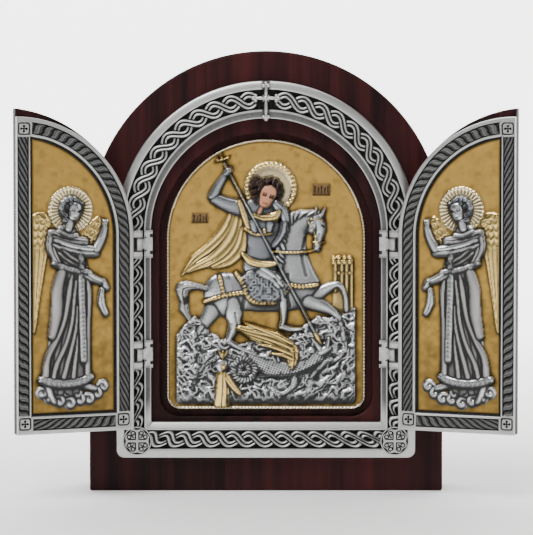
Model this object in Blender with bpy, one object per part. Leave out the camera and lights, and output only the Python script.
"""Triptych altarpiece: an arched wooden board with a knotwork frame round a relief plate, and two hinged wings.

Units are metres. +Z is up and the front looks along -Y. The origin is the middle of the board's underside.
The wings stand open as in the photo, swung a little forward of the board's plane.
"""

import math

import bmesh
import bpy
import numpy as np

MM = 0.001

# Fits
SEAM = 0.3 * MM  # gap between pieces that touch

# Board
BOARD_WIDTH = 200.0 * MM
BOARD_HEIGHT = 249.0 * MM
BOARD_THICKNESS = 30.0 * MM
BOARD_EDGE = 1.2 * MM  # softened front and back edges
RECESS_DEPTH = 5.0 * MM
RECESS_MARGIN = 3.9 * MM  # open recess showing round the icon plate

# Frame moulding, as four nested arches: half width, height of the arch's centre, and bottom
FRAME_THICKNESS = 5.0 * MM
FRAME_HALF_WIDTH = 84.3 * MM
FRAME_BOTTOM = 19.4 * MM
FRAME_CENTRE_HEIGHT = 147.8 * MM
OUTER_BAND = 4.4 * MM
OUTER_BAND_RAIL = 5.2 * MM
KNOT_CHANNEL = 11.4 * MM
KNOT_CHANNEL_RAIL = 10.7 * MM
INNER_BAND = 3.6 * MM
INNER_BAND_RAIL = 4.2 * MM
BAND_DROP = 0.5 * MM  # the channel's arches are struck this much lower, so the outer band is wider at the crown
OPENING_DROP = 1.2 * MM  # and the opening's arch this much lower again
KNOT_DEPTH = 2.2 * MM
INNER_CHAMFER = 1.5 * MM
KNOT_PITCH = 10.2 * MM  # from one crossing of the strands to the next
FRAME_CORNER = 4.5 * MM

# Ornaments cast on the frame
MEDALLION_RADIUS = 8.2 * MM
MEDALLION_RISE = 1.0 * MM
MEDALLION_INWARD = 1.6 * MM  # from where the channels' middle lines meet
MEDALLION_LOWER = 0.8 * MM
CROSS_HEIGHT = 22.0 * MM
CROSS_WIDTH = 14.4 * MM
CROSS_RISE = 1.2 * MM
CROSS_NECK = 1.5 * MM
CROSS_BUD = 2.0 * MM

# Icon plate
ICON_SIDE_MARGIN = 8.6 * MM  # from the opening's edge, seen from the front
ICON_FOOT_MARGIN = 6.7 * MM
ICON_CROWN_MARGIN = 11.8 * MM
ICON_CORNER = 8.0 * MM
ICON_SLAB = 2.5 * MM
ICON_RELIEF = 4.2 * MM
ICON_RIM = 1.2 * MM
ICON_RIM_RISE = 1.2 * MM
ICON_COLUMNS = 26
ICON_ROWS = 36

# Wings
WING_SWING = math.radians(21.0)  # forward of the board's plane, at rest
HINGE_OFFSET = 6.4 * MM  # hinge axis in front of the frame's front face
HINGE_OUTSIDE = 6.1 * MM  # hinge axis outside the frame's opening
WING_EDGE = 4.4 * MM  # hinge axis to the wing's edge
MEETING_GAP = 0.5 * MM
WING_LAP = 2.2 * MM  # the closed wings lap the opening's bottom edge by this
WING_CROWN_LAP = 0.4 * MM  # and its crown by this
WING_FACE = 4.4 * MM  # hinge axis to the border's face, and to the wood's back
BORDER_THICKNESS = 2.5 * MM
BORDER_WIDTH = 11.0 * MM
BORDER_BAND = 2.5 * MM
ROPE_DEPTH = 1.4 * MM
ROPE_PITCH = 9.8 * MM
WOOD_BEYOND = 8.0 * MM  # the wood's arch is struck this far beyond the meeting edge
WOOD_LOWER = 4.0 * MM  # and this much lower than the metal's
PANEL_SUNK = 1.5 * MM  # panel's ground below the border's face
PANEL_RELIEF = 3.0 * MM
PANEL_COLUMNS = 14
PANEL_ROWS = 36

# Hinges
HINGE_HEIGHT = 15.5 * MM
HINGE_BELOW_ARCH = 5.7 * MM  # upper hinges' middle, below the opening's arch
HINGE_ABOVE_RAIL = 38.9 * MM  # lower hinges' middle, above the opening's bottom edge
PIN_RADIUS = 1.0 * MM
PIN_CLEARANCE = 0.25 * MM
LEAF_THICKNESS = 0.85 * MM
KNUCKLE_SHARE = 0.36  # of the hinge's height, the frame leaf's knuckle
KNUCKLE_GAP = 0.35 * MM
LEAF_RETURN = 3.5 * MM  # the frame leaf's flange along the frame's inner edge
PIN_HEAD = 0.5 * MM

# Places worked out from the sizes above
BOARD_FRONT = -BOARD_THICKNESS / 2
FRAME_BACK = BOARD_FRONT - SEAM
FRAME_FRONT = FRAME_BACK - FRAME_THICKNESS
CHANNEL_OUTER = FRAME_HALF_WIDTH - OUTER_BAND
CHANNEL_INNER = CHANNEL_OUTER - KNOT_CHANNEL
OPENING_HALF = CHANNEL_INNER - INNER_BAND
CHANNEL_BOTTOM = FRAME_BOTTOM + OUTER_BAND_RAIL
CHANNEL_TOP = CHANNEL_BOTTOM + KNOT_CHANNEL_RAIL  # of the bottom rail's channel
OPENING_BOTTOM = CHANNEL_TOP + INNER_BAND_RAIL
CHANNEL_CENTRE = FRAME_CENTRE_HEIGHT - BAND_DROP
OPENING_CENTRE = CHANNEL_CENTRE - OPENING_DROP
AXIS_X = OPENING_HALF + HINGE_OUTSIDE
AXIS_Y = FRAME_FRONT - HINGE_OFFSET
WING_WIDTH = AXIS_X - WING_EDGE - MEETING_GAP / 2
WING_BOTTOM = OPENING_BOTTOM - WING_LAP
WING_HEIGHT = OPENING_CENTRE + OPENING_HALF + WING_CROWN_LAP - WING_BOTTOM
WING_SPRING = WING_HEIGHT - WING_WIDTH  # where the wing's quarter arch starts
UPPER_HINGE = OPENING_CENTRE - HINGE_BELOW_ARCH
LOWER_HINGE = OPENING_BOTTOM + HINGE_ABOVE_RAIL
RECESS_FLOOR = BOARD_FRONT + RECESS_DEPTH
ICON_BACK = RECESS_FLOOR - SEAM
ICON_WIDTH = 2 * (OPENING_HALF - ICON_SIDE_MARGIN)
ICON_BOTTOM = OPENING_BOTTOM + ICON_FOOT_MARGIN
ICON_HEIGHT = OPENING_CENTRE + OPENING_HALF - ICON_CROWN_MARGIN - ICON_BOTTOM


def remove_everything():
    for old in list(bpy.data.objects):
        bpy.data.objects.remove(old, do_unlink=True)


def make_material(name, colour, roughness, metallic):
    material = bpy.data.materials.new(name)
    material.use_nodes = True
    shader = material.node_tree.nodes["Principled BSDF"]
    shader.inputs["Base Color"].default_value = (*colour, 1.0)
    shader.inputs["Roughness"].default_value = roughness
    shader.inputs["Metallic"].default_value = metallic
    return material


def add_mesh(name, vertices, faces, material, parent=None):
    """An object from points and faces, its doubles merged and its faces turned outwards."""
    mesh = bpy.data.meshes.new(name)
    mesh.from_pydata([tuple(map(float, v)) for v in vertices], [], faces)
    work = bmesh.new()
    work.from_mesh(mesh)
    bmesh.ops.remove_doubles(work, verts=work.verts, dist=1e-6)
    bmesh.ops.dissolve_degenerate(work, edges=work.edges, dist=1e-7)
    bmesh.ops.recalc_face_normals(work, faces=work.faces)
    work.to_mesh(mesh)
    work.free()
    mesh.materials.append(material)
    piece = bpy.data.objects.new(name, mesh)
    bpy.context.scene.collection.objects.link(piece)
    piece.parent = parent
    return piece


def boolean(piece, tool, operation):
    """A live Boolean with a hidden tool object."""
    tool.hide_render = True
    tool.display_type = "WIRE"
    modifier = piece.modifiers.new(operation.lower(), "BOOLEAN")
    modifier.operation = operation
    modifier.solver = "EXACT"
    modifier.object = tool


# Outlines and skins


def at_depth(outline, depth):
    """A flat outline of (x, z) points, set at one depth or at a depth for each point."""
    depths = np.broadcast_to(depth, len(outline))
    return np.column_stack([outline[:, 0], depths, outline[:, 1]])


def arch_loop(half_width, centre, bottom, corner, sides=2, arc=24, rail=2, turn=3):
    """A round-arched outline: up the right side, over, down the left, and along the bottom.

    sides, arc and rail are counts of segments, and turn of those round each bottom corner.
    """
    low = bottom + corner
    up = np.linspace(low, centre, sides, endpoint=False)
    right = np.column_stack([np.full(sides, half_width), up])
    angle = np.linspace(0, math.pi, arc + 1)
    over = np.column_stack([half_width * np.cos(angle), centre + half_width * np.sin(angle)])
    left = np.column_stack([np.full(sides, -half_width), np.linspace(centre, low, sides + 1)[1:]])
    turning = np.linspace(0, math.pi / 2, turn + 1)
    inset = half_width - corner
    left_corner = np.column_stack([-inset - corner * np.cos(turning), low - corner * np.sin(turning)])[1:]
    along = np.linspace(-inset, inset, rail + 1)[1:]
    across = np.column_stack([along, np.full(rail, bottom)])
    right_corner = np.column_stack([inset + corner * np.sin(turning), low - corner * np.cos(turning)])[1:-1]
    return np.vstack([right, over, left, left_corner, across, right_corner])


def wing_loop(inset, hinge=2, arc=12, meeting=3, foot=2):
    """A wing's half-arched outline, set in by `inset`: x from the wing's edge, z from its foot."""
    radius = WING_WIDTH - inset
    top_angle = math.acos(min(1.0, inset / radius))
    edge = np.column_stack([np.full(hinge, inset), np.linspace(inset, WING_SPRING, hinge, endpoint=False)])
    angle = np.linspace(math.pi, math.pi - top_angle, arc + 1)
    over = np.column_stack([WING_WIDTH + radius * np.cos(angle), WING_SPRING + radius * np.sin(angle)])
    drop = np.linspace(over[-1, 1], inset, meeting + 1)[1:]
    down = np.column_stack([np.full(meeting, radius), drop])
    back = np.column_stack([np.linspace(radius, inset, foot + 1)[1:-1], np.full(foot - 1, inset)])
    return np.vstack([edge, over, down, back])


def skin(loops, caps=True):
    """Faces between one loop and the next, with both ends capped, or joined round into a ring."""
    count = len(loops[0])
    vertices = np.vstack(loops)
    pairs = list(zip(range(len(loops) - 1), range(1, len(loops))))
    if not caps:
        pairs.append((len(loops) - 1, 0))
    faces = []
    for first, second in pairs:
        for k in range(count):
            j = (k + 1) % count
            faces.append((first * count + k, first * count + j, second * count + j, second * count + k))
    if caps:
        faces.append(tuple(range(count - 1, -1, -1)))
        faces.append(tuple(range((len(loops) - 1) * count, len(loops) * count)))
    return vertices, faces


def relief_solid(across, up, heights, ground, back):
    """A closed plate whose front is a grid of heights: across, up and heights are all rows by columns.

    The front stands `heights` above `ground`, towards -Y where `back` lies behind it and +Y otherwise.
    """
    toward = -1.0 if back > ground else 1.0
    rows, columns = across.shape
    front = np.stack([across, ground + toward * heights, up], axis=-1).reshape(-1, 3)
    number = np.arange(rows * columns).reshape(rows, columns)
    quads = np.stack([number[:-1, :-1], number[:-1, 1:], number[1:, 1:], number[1:, :-1]], axis=-1)
    edge = np.concatenate([number[0, :-1], number[:-1, -1], number[-1, :0:-1], number[:0:-1, 0]])
    behind = front[edge].copy()
    behind[:, 1] = back
    base = len(front)
    count = len(edge)
    faces = [tuple(map(int, q)) for q in quads.reshape(-1, 4)]
    for k in range(count):
        j = (k + 1) % count
        faces.append((int(edge[k]), int(edge[j]), base + j, base + k))
    faces.append(tuple(range(base, base + count)))
    return np.vstack([front, behind]), faces


# Relief carving: every height is a share of the relief's depth, and every place a share of the plate's height


def limb(x, z, points, radii, crest):
    """A rounded limb along a line of points: half an ellipse across, `crest` high on its middle."""
    height = np.zeros_like(x)
    for k in range(len(points) - 1):
        (x0, z0), (x1, z1) = points[k], points[k + 1]
        dx, dz = x1 - x0, z1 - z0
        along = np.clip(((x - x0) * dx + (z - z0) * dz) / (dx * dx + dz * dz), 0, 1)
        radius = radii[k] + (radii[k + 1] - radii[k]) * along
        away = ((x - x0 - dx * along) ** 2 + (z - z0 - dz * along) ** 2) / radius**2
        height = np.maximum(height, crest * np.sqrt(np.clip(1 - away, 0, 1)))
    return height


def disc(x, z, centre, radius, crest):
    """A flat disc with its rim a little higher."""
    away = np.hypot(x - centre[0], z - centre[1]) / radius
    return np.where(away < 1, crest * (0.7 + 0.3 * (away > 0.82)), 0.0)


def slab(x, z, left, bottom, right, top, crest):
    return np.where((x > left) & (x < right) & (z > bottom) & (z < top), crest, 0.0)


def icon_relief(x, z):
    """Rider, horse, dragon, tower and rocks. x and z are in hundredths of the plate's height."""
    rocks_top = np.interp(x, [-33, -26, -20, -12, 12, 18, 33], [28, 34, 27, 24, 29, 34, 37])
    crags = 0.22 + 0.10 * np.sin(1.1 * x + 0.6 * z) * np.cos(0.9 * z - 0.5 * x)
    parts = [
        np.where((np.abs(x) < 33.2) & (z > 2.4) & (z < rocks_top), crags, 0.0),
        disc(x, z, (1.5, 81.5), 9.8, 0.30),
        slab(x, z, 24.5, 37.4, 32.7, 57.2, 0.40),
        slab(x, z, -27.5, 69.0, -21.0, 73.0, 0.16),
        slab(x, z, 17.2, 79.5, 23.8, 83.5, 0.16),
        # Cape blown back from the shoulder
        limb(x, z, [(-11, 74), (-11.5, 63), (-18, 59.5), (-25, 56.5), (-30, 51.5)], [3, 6.5, 5.5, 4, 1.4], 0.42),
        # Horse
        limb(x, z, [(-15.5, 43.5), (-1, 43), (13.5, 44.5)], [8.2, 6.8, 8], 0.72),
        limb(x, z, [(12, 48), (12.5, 59), (14.5, 67), (18, 70.5)], [7.5, 5.2, 4.2, 3.2], 0.66),
        limb(x, z, [(18.5, 69.8), (19.3, 60)], [3.8, 2.0], 0.78),
        limb(x, z, [(21, 72), (21.8, 75)], [1.4, 0.8], 0.6),
        limb(x, z, [(-19, 38), (-25.5, 27), (-24.5, 17)], [4.5, 1.9, 1.5], 0.55),
        limb(x, z, [(-12, 40), (-11.7, 31), (-15, 25), (-4, 20.3)], [5.5, 3.2, 1.8, 1.4], 0.68),
        limb(x, z, [(16, 43.5), (27, 47.7), (29.5, 39), (28.6, 35)], [3.2, 1.9, 1.5, 1.3], 0.62),
        limb(x, z, [(15, 39.5), (25.4, 36.3), (28.2, 31), (28.2, 27.6)], [3.6, 2, 1.6, 1.4], 0.68),
        limb(x, z, [(-22, 45), (-29.6, 45.5), (-30, 39.5), (-28.7, 32.6)], [1.6, 2.8, 2.2, 0.8], 0.5),
        # Rider
        limb(x, z, [(-5, 73), (-1.7, 65), (-2, 56)], [6.5, 6.8, 6.4], 0.90),
        limb(x, z, [(-2, 54), (4, 49.5), (6.4, 45)], [6.5, 3.6, 2.6], 0.92),
        limb(x, z, [(5.8, 44), (6.4, 32)], [2.5, 1.5], 0.9),
        limb(x, z, [(6.5, 31), (13.5, 30.2)], [1.5, 1.1], 0.85),
        limb(x, z, [(-9, 75.5), (-19, 78), (-15.8, 86)], [3.4, 2.6, 1.8], 0.85),
        limb(x, z, [(4, 76), (7, 70), (5, 62)], [2.4, 2.4, 2.2], 0.88),
        limb(x, z, [(1, 81), (0.4, 79)], [4.3, 3.4], 0.95),
        limb(x, z, [(-16.2, 93), (18.8, 27.2)], [0.9, 0.9], 1.0),
        # Dragon
        limb(x, z, [(-1, 15.5), (7, 15), (15, 17.5), (21.5, 22)], [3.5, 4, 3.5, 3], 0.6),
        limb(x, z, [(21.5, 22), (23, 26)], [2.4, 0.9], 0.6),
        limb(x, z, [(21, 22), (17.2, 25.8)], [1.8, 0.7], 0.55),
        limb(x, z, [(-11, 29.5), (4, 24.5), (9, 15.5)], [1.6, 4, 2.4], 0.52),
        limb(x, z, [(-18, 19), (-24.5, 14.7), (-27.3, 8)], [1.6, 1.3, 0.8], 0.45),
        disc(x, z, (-8.1, 14.7), 5.2, 0.55),
        # Crowned onlooker
        limb(x, z, [(-16.3, 12), (-16.3, 2)], [2.8, 4.2], 0.6),
        limb(x, z, [(-16.3, 16.2), (-16, 21)], [2.7, 1.5], 0.62),
        limb(x, z, [(-13.5, 11), (-9.4, 5.6)], [1.5, 1.1], 0.55),
    ]
    return np.maximum.reduce(parts)


def angel_relief(u, v):
    """A standing angel. u runs from the hinge edge and v from the foot, in hundredths of the wing's height."""
    clouds = [(10, 14), (12, 12), (18.7, 13), (22.4, 12.5), (18, 10.3), (24.3, 9.9), (15, 10.6), (30, 12.6)]
    parts = [limb(u, v, [cloud, (cloud[0] + 1.5, cloud[1] + 0.4)], [2.1, 1.5], 0.4) for cloud in clouds]
    parts += [
        disc(u, v, (20.6, 70.7), 7.3, 0.32),
        limb(u, v, [(30.4, 68.5), (31.4, 57), (32.6, 33)], [2.4, 3.6, 0.8], 0.5),
        limb(u, v, [(17.8, 60), (12.6, 65.5)], [2.6, 2.8], 0.4),
        limb(u, v, [(20.5, 60), (19.9, 51.5), (20.9, 33), (22.5, 17)], [5.4, 5.5, 6.0, 7.4], 0.85),
        limb(u, v, [(26, 61.5), (16, 60.3)], [3.0, 2.8], 0.92),
        limb(u, v, [(20.4, 71), (19.6, 69.6)], [3.7, 3.0], 1.0),
        limb(u, v, [(24, 59.8), (11.5, 58.2), (9.2, 64)], [2.8, 2.1, 1.4], 0.95),
        limb(u, v, [(16, 50), (9.3, 46.6), (9.5, 38)], [2.0, 1.5, 1.8], 0.7),
        limb(u, v, [(18.5, 15.7), (13, 13.9)], [1.5, 1.2], 0.6),
        limb(u, v, [(28.6, 14.6), (26.4, 10.2)], [1.6, 1.2], 0.6),
    ]
    return np.maximum.reduce(parts)


# Pieces


def knot_heights(stations, across):
    """Depth below the frame's face of a two-strand twist: crossings stand high, and so do the bends between."""
    crossing = np.arange(stations) % 2 == 0
    middle = abs(across - 0.5) < 0.2
    return np.where(crossing == middle, 0.1, 1.0) * KNOT_DEPTH


def make_back_board(material):
    margin = RECESS_MARGIN
    outer = {"half_width": BOARD_WIDTH / 2, "centre": BOARD_HEIGHT - BOARD_WIDTH / 2, "bottom": 0.0, "corner": BOARD_EDGE}
    eased = arch_loop(BOARD_WIDTH / 2 - BOARD_EDGE, outer["centre"], BOARD_EDGE, BOARD_EDGE)
    edge = arch_loop(**outer)
    recess = arch_loop(
        ICON_WIDTH / 2 + margin,
        ICON_BOTTOM + ICON_HEIGHT - ICON_WIDTH / 2,
        ICON_BOTTOM - margin,
        ICON_CORNER + margin,
    )
    loops = [
        at_depth(eased, -BOARD_FRONT),
        at_depth(edge, -BOARD_FRONT - BOARD_EDGE),
        at_depth(edge, BOARD_FRONT + BOARD_EDGE),
        at_depth(eased, BOARD_FRONT),
        at_depth(recess, BOARD_FRONT),
        at_depth(recess, RECESS_FLOOR),
    ]
    add_mesh("back_board", *skin(loops), material)


def frame_loops():
    """The frame's nested outlines, all with the same count of stations, so that bands lie between them."""
    side = CHANNEL_CENTRE - CHANNEL_BOTTOM
    middle = (CHANNEL_OUTER + CHANNEL_INNER) / 2
    counts = {
        "sides": 2 * round(side / KNOT_PITCH),
        "arc": 2 * round(math.pi * middle / KNOT_PITCH),
        "rail": 2 * round(2 * middle / KNOT_PITCH),
        "turn": 2,
    }
    outer = arch_loop(FRAME_HALF_WIDTH, FRAME_CENTRE_HEIGHT, FRAME_BOTTOM, FRAME_CORNER, **counts)
    channel = arch_loop(CHANNEL_OUTER, CHANNEL_CENTRE, CHANNEL_BOTTOM, FRAME_CORNER / 2, **counts)
    inner = arch_loop(CHANNEL_INNER, CHANNEL_CENTRE, CHANNEL_TOP, FRAME_CORNER / 3, **counts)
    opening = arch_loop(OPENING_HALF, OPENING_CENTRE, OPENING_BOTTOM, FRAME_CORNER / 4, **counts)
    return outer, channel, inner, opening


def make_arch_frame(material):
    outer, channel, inner, opening = frame_loops()
    strands = []
    for share in (0.18, 0.5, 0.82):
        line = channel + (inner - channel) * share
        strands.append(at_depth(line, FRAME_FRONT + knot_heights(len(line), share)))
    loops = [
        at_depth(outer, FRAME_BACK),
        at_depth(outer, FRAME_FRONT),
        at_depth(channel, FRAME_FRONT),
        *strands,
        at_depth(inner, FRAME_FRONT),
        at_depth(opening, FRAME_FRONT + INNER_CHAMFER),
        at_depth(opening, FRAME_BACK),
    ]
    frame = add_mesh("arch_frame", *skin(loops, caps=False), material)
    corner_x = (CHANNEL_OUTER + CHANNEL_INNER) / 2 - MEDALLION_INWARD
    corner_z = (CHANNEL_BOTTOM + CHANNEL_TOP) / 2 - MEDALLION_LOWER
    for side, word in ((-1, "left"), (1, "right")):
        boolean(frame, make_medallion(word, side * corner_x, corner_z, material), "UNION")
    boolean(frame, make_crown_cross(material), "UNION")


def make_medallion(word, x, z, material):
    """A round boss with a raised rim and a cross, as rings of points from the rim to the middle."""
    spokes = 16
    angle = np.arange(spokes) * 2 * math.pi / spokes
    on_arm = np.arange(spokes) % (spokes // 4) == 0
    base = FRAME_BACK - FRAME_THICKNESS / 3
    face = FRAME_FRONT - MEDALLION_RISE
    loops = []
    for radius, depth in ((1.0, base), (1.0, face), (0.8, face), (0.68, face + 0.8 * MM), (0.2, face + 0.8 * MM)):
        depths = np.where(on_arm & (radius < 0.75), face, depth)
        spread = radius * MEDALLION_RADIUS
        loops.append(np.column_stack([x + spread * np.cos(angle), depths, z + spread * np.sin(angle)]))
    return add_mesh(f"{word}_medallion_shape", *skin(loops), material)


def make_crown_cross(material):
    """A slim cross with a round bud at the end of each arm."""
    centre_z = FRAME_CENTRE_HEIGHT + FRAME_HALF_WIDTH - 0.45 * CROSS_HEIGHT
    reach = (CROSS_WIDTH / 2, CROSS_HEIGHT * 0.42, CROSS_WIDTH / 2, CROSS_HEIGHT * 0.58)
    half = CROSS_NECK / 2
    outline = []
    for k, length in enumerate(reach):
        turn = k * math.pi / 2
        bud = length - CROSS_BUD
        joint = math.asin(half / CROSS_BUD)
        arm = [(half, -half)]
        for angle in np.linspace(-math.pi + joint, math.pi - joint, 7):
            arm.append((bud + CROSS_BUD * math.cos(angle), CROSS_BUD * math.sin(angle)))
        for along, aside in arm:
            x = along * math.cos(turn) - aside * math.sin(turn)
            z = along * math.sin(turn) + aside * math.cos(turn)
            outline.append((x, centre_z + z))
    outline = np.array(outline)
    loops = [at_depth(outline, FRAME_FRONT + 1.0 * MM), at_depth(outline, FRAME_FRONT - CROSS_RISE)]
    return add_mesh("crown_cross_shape", *skin(loops), material)


def make_icon_plate(material):
    half = ICON_WIDTH / 2
    arch_rows = ICON_ROWS // 3
    straight = np.linspace(ICON_CORNER, ICON_HEIGHT - half, ICON_ROWS - arch_rows - 2)
    low = ICON_CORNER * (1 - np.cos(np.linspace(0, math.pi / 2, 4)))[:-1]
    rise = np.linspace(0, math.pi / 2, arch_rows + 1)[1:]
    up = np.concatenate([low, straight, ICON_HEIGHT - half + half * np.sin(rise)])
    width = np.concatenate(
        [
            half - ICON_CORNER + ICON_CORNER * np.sin(np.linspace(0, math.pi / 2, 4))[:-1],
            np.full(len(straight), half),
            half * np.cos(rise),
        ]
    )
    share = np.linspace(-1, 1, ICON_COLUMNS + 1)
    share[1] = -1 + ICON_RIM / half
    share[-2] = -share[1]
    across = width[:, None] * share[None, :]
    rows = np.repeat(up[:, None], len(share), axis=1)
    unit = ICON_HEIGHT / 100
    heights = ICON_RELIEF * icon_relief(across / unit, rows / unit)
    rim = np.zeros_like(heights, dtype=bool)
    rim[:, (0, -1)] = True
    rim[(0, -1), :] = True
    heights = np.where(rim, ICON_RIM_RISE, heights)
    vertices, faces = relief_solid(across, rows + ICON_BOTTOM, heights, ICON_BACK - ICON_SLAB, ICON_BACK)
    add_mesh("icon_plate", vertices, faces, material)


def place_on_wing(vertices, faces, side):
    """Wing pieces are drawn for the left wing. The right wing's are their mirror image through the wing's plane."""
    vertices = np.array(vertices)
    vertices[:, 0] += WING_EDGE
    vertices[:, 2] += WING_BOTTOM
    if side > 0:
        vertices[:, 1] *= -1
    return vertices, faces


def wing_rope(stations, share):
    high = (np.arange(stations) % 2 == 0) == (share < 0.5)
    return np.where(high, 0.1, 1.0) * ROPE_DEPTH


def make_wing_border(word, side, axis, material):
    arc = WING_WIDTH * math.pi / 2
    counts = {
        "hinge": 2 * round(WING_SPRING / ROPE_PITCH),
        "arc": 2 * round(arc / ROPE_PITCH),
        "meeting": 2 * round(WING_HEIGHT / ROPE_PITCH),
        "foot": 2 * round(WING_WIDTH / ROPE_PITCH),
    }
    face = WING_FACE
    back = WING_FACE - BORDER_THICKNESS
    channel = BORDER_WIDTH - 2 * BORDER_BAND
    ropes = []
    for share in (0.3, 0.7):
        line = wing_loop(BORDER_BAND + channel * share, **counts)
        ropes.append(at_depth(line, face - wing_rope(len(line), share)))
    loops = [
        at_depth(wing_loop(0.0, **counts), back),
        at_depth(wing_loop(0.0, **counts), face),
        at_depth(wing_loop(BORDER_BAND, **counts), face),
        *ropes,
        at_depth(wing_loop(BORDER_WIDTH, **counts), face),
        at_depth(wing_loop(BORDER_WIDTH, **counts), back),
    ]
    add_mesh(f"{word}_wing_border", *place_on_wing(*skin(loops, caps=False), side), material, axis)


def make_wing_plate(word, side, axis, material):
    inset = BORDER_WIDTH + SEAM
    left, right, bottom = inset, WING_WIDTH - inset, inset
    radius = WING_WIDTH - inset
    top = WING_SPRING + math.sqrt(radius**2 - inset**2)
    arch_rows = PANEL_ROWS // 3
    top_angle = math.asin((top - WING_SPRING) / radius)
    rise = np.linspace(0, top_angle, arch_rows + 1)[1:]
    up = np.concatenate([np.linspace(bottom, WING_SPRING, PANEL_ROWS - arch_rows), WING_SPRING + radius * np.sin(rise)])
    start = np.where(up > WING_SPRING, WING_WIDTH - np.sqrt(np.clip(radius**2 - (up - WING_SPRING) ** 2, 0, None)), left)
    start = np.minimum(start, right)
    share = np.linspace(0, 1, PANEL_COLUMNS + 1)
    across = start[:, None] + (right - start)[:, None] * share[None, :]
    rows = np.repeat(up[:, None], len(share), axis=1)
    unit = WING_HEIGHT / 100
    heights = PANEL_RELIEF * angel_relief(across / unit, rows / unit)
    heights[:, (0, -1)] = 0
    heights[(0, -1), :] = 0
    ground = WING_FACE - PANEL_SUNK
    back = WING_FACE - BORDER_THICKNESS
    vertices, faces = relief_solid(across, rows, heights, ground, back)
    add_mesh(f"{word}_wing_plate", *place_on_wing(vertices, faces, side), material, axis)


def make_wing_board(word, side, axis, material):
    """The wood behind: its arch is struck lower and farther out, so it rises past the metal at the meeting edge."""
    centre_x = WING_WIDTH + WOOD_BEYOND
    centre_z = WING_SPRING - WOOD_LOWER
    radius = math.hypot(WOOD_BEYOND, WOOD_LOWER) + WING_WIDTH
    first = math.acos(-centre_x / radius)
    last = math.acos(-WOOD_BEYOND / radius)
    angle = np.linspace(first, last, 15)
    over = np.column_stack([centre_x + radius * np.cos(angle), centre_z + radius * np.sin(angle)])
    outline = np.vstack([[(0.0, 0.0)], over, [(WING_WIDTH, 0.0)]])
    front = WING_FACE - BORDER_THICKNESS - SEAM
    loops = [at_depth(outline, -WING_FACE), at_depth(outline, front)]
    add_mesh(f"{word}_wing_board", *place_on_wing(*skin(loops), side), material, axis)


def strip_outline(points, thickness):
    """A bent strip's closed outline: its path moved half the thickness to each side, mitred at the bends."""
    points = np.array(points)
    run = np.diff(points, axis=0)
    run /= np.linalg.norm(run, axis=1)[:, None]
    side = np.column_stack([-run[:, 1], run[:, 0]])
    mitre = np.vstack([side[:1], side[:-1] + side[1:], side[-1:]])
    scale = np.ones(len(points))
    scale[1:-1] = 2 / np.sum(mitre[1:-1] ** 2, axis=1)
    offset = mitre * scale[:, None] * thickness / 2
    return np.vstack([points + offset, (points - offset)[::-1]])


def prism(outline, low, high, side):
    """An upright prism of an (x, y) outline. The right side's is mirrored in x."""
    outline = np.array(outline)
    if side > 0:
        outline[:, 0] *= -1
    lower = np.column_stack([outline, np.full(len(outline), low)])
    upper = np.column_stack([outline, np.full(len(outline), high)])
    return skin([lower, upper])


def box(low, high):
    corners = [(x, y) for x, y in ((low[0], low[1]), (high[0], low[1]), (high[0], high[1]), (low[0], high[1]))]
    return skin([np.array([(x, y, z) for x, y in corners]) for z in (low[2], high[2])])


def join_shapes(shapes):
    vertices, faces = [], []
    for points, polygons in shapes:
        base = sum(map(len, vertices))
        vertices.append(points)
        faces += [tuple(base + k for k in polygon) for polygon in polygons]
    return np.vstack(vertices), faces


def curl(radius, first, last, steps=9):
    """Points round the hinge's axis, in degrees."""
    return [(radius * math.cos(math.radians(a)), radius * math.sin(math.radians(a))) for a in np.linspace(first, last, steps)]


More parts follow.
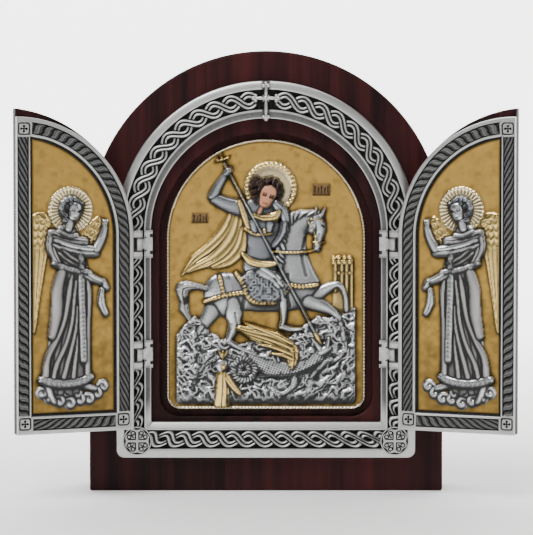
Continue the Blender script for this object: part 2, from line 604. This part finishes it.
def make_hinge(word, side, height, axis, anchor, steel):
    """One hinge: a frame leaf with the middle knuckle, a wing leaf with the two outer ones, and the pin."""
    bore = PIN_RADIUS + PIN_CLEARANCE
    ring = bore + LEAF_THICKNESS / 2
    reach = bore + LEAF_THICKNESS
    low, high = height - HINGE_HEIGHT / 2, height + HINGE_HEIGHT / 2
    knuckle_low = height - HINGE_HEIGHT * KNUCKLE_SHARE / 2
    knuckle_high = height + HINGE_HEIGHT * KNUCKLE_SHARE / 2

    # Frame leaf, in x towards the opening and y towards the frame
    on_face = HINGE_OFFSET - SEAM - LEAF_THICKNESS / 2
    in_opening = HINGE_OUTSIDE + SEAM + LEAF_THICKNESS / 2
    path = [(in_opening, on_face + LEAF_RETURN), (in_opening, on_face), (ring, on_face), *curl(ring, 0, -290)]
    vertices, faces = prism(strip_outline(path, LEAF_THICKNESS), low, high, side)
    leaf = add_mesh(f"{word}_hinge_frame_leaf", vertices, faces, steel, anchor)
    cut_x = sorted((-side * -3 * reach, -side * (reach + LEAF_THICKNESS)))
    deep = HINGE_OFFSET + reach
    cutters = [
        box((cut_x[0], -3 * reach, low - reach), (cut_x[1], deep, knuckle_low)),
        box((cut_x[0], -3 * reach, knuckle_high), (cut_x[1], deep, high + reach)),
    ]
    boolean(leaf, add_mesh(f"{word}_frame_leaf_cutter", *join_shapes(cutters), steel, anchor), "DIFFERENCE")

    # Wing leaf, in x along the wing and y towards its face
    plate_x = WING_EDGE - SEAM - LEAF_THICKNESS / 2
    path = [(plate_x, -WING_FACE + LEAF_THICKNESS), (plate_x, ring), *curl(ring, 90, 380)]
    outline = strip_outline(path, LEAF_THICKNESS)
    if side > 0:
        outline[:, 1] *= -1
    vertices, faces = prism(outline, low, high, -1)
    leaf = add_mesh(f"{word}_hinge_wing_leaf", vertices, faces, steel, axis)
    middle = box(
        (-3 * reach, -3 * reach, knuckle_low - KNUCKLE_GAP),
        (plate_x - LEAF_THICKNESS, 3 * reach, knuckle_high + KNUCKLE_GAP),
    )
    boolean(leaf, add_mesh(f"{word}_wing_leaf_cutter", *middle, steel, axis), "DIFFERENCE")

    # Pin
    sides = 12
    angle = np.arange(sides) * 2 * math.pi / sides
    loops = []
    for level, radius in (
        (low - PIN_HEAD, 0.6 * PIN_RADIUS),
        (low, PIN_RADIUS),
        (high, PIN_RADIUS),
        (high + PIN_HEAD, 0.6 * PIN_RADIUS),
    ):
        loops.append(np.column_stack([radius * np.cos(angle), radius * np.sin(angle), np.full(sides, level)]))
    pin = add_mesh(f"{word}_hinge_pin", *skin(loops), steel, anchor)
    pin.data.shade_smooth()
    pin.data.set_sharp_from_angle(angle=math.radians(40))


def make_empty(name, location, turn=0.0):
    empty = bpy.data.objects.new(name, None)
    empty.location = location
    empty.rotation_euler = (0.0, 0.0, turn)
    bpy.context.scene.collection.objects.link(empty)
    return empty


def build():
    remove_everything()
    wood = make_material("mahogany", (0.075, 0.022, 0.024), 0.35, 0.0)
    pewter = make_material("antiqued_pewter", (0.50, 0.50, 0.49), 0.35, 1.0)
    gilt = make_material("gilt_and_silver_plate", (0.52, 0.38, 0.14), 0.42, 1.0)
    steel = make_material("hinge_steel", (0.60, 0.60, 0.59), 0.3, 1.0)

    make_back_board(wood)
    make_arch_frame(pewter)
    make_icon_plate(gilt)
    for word, side in (("left", -1), ("right", 1)):
        turn = math.pi + WING_SWING if side < 0 else -WING_SWING
        axis = make_empty(f"{word}_wing_axis", (side * AXIS_X, AXIS_Y, 0.0), turn)
        anchor = make_empty(f"{word}_hinge_anchor", (side * AXIS_X, AXIS_Y, 0.0))
        make_wing_board(word, side, axis, wood)
        make_wing_border(word, side, axis, pewter)
        make_wing_plate(word, side, axis, gilt)
        for level, height in (("upper", UPPER_HINGE), ("lower", LOWER_HINGE)):
            make_hinge(f"{word}_{level}", side, height, axis, anchor, steel)
    bpy.context.view_layer.update()


build()
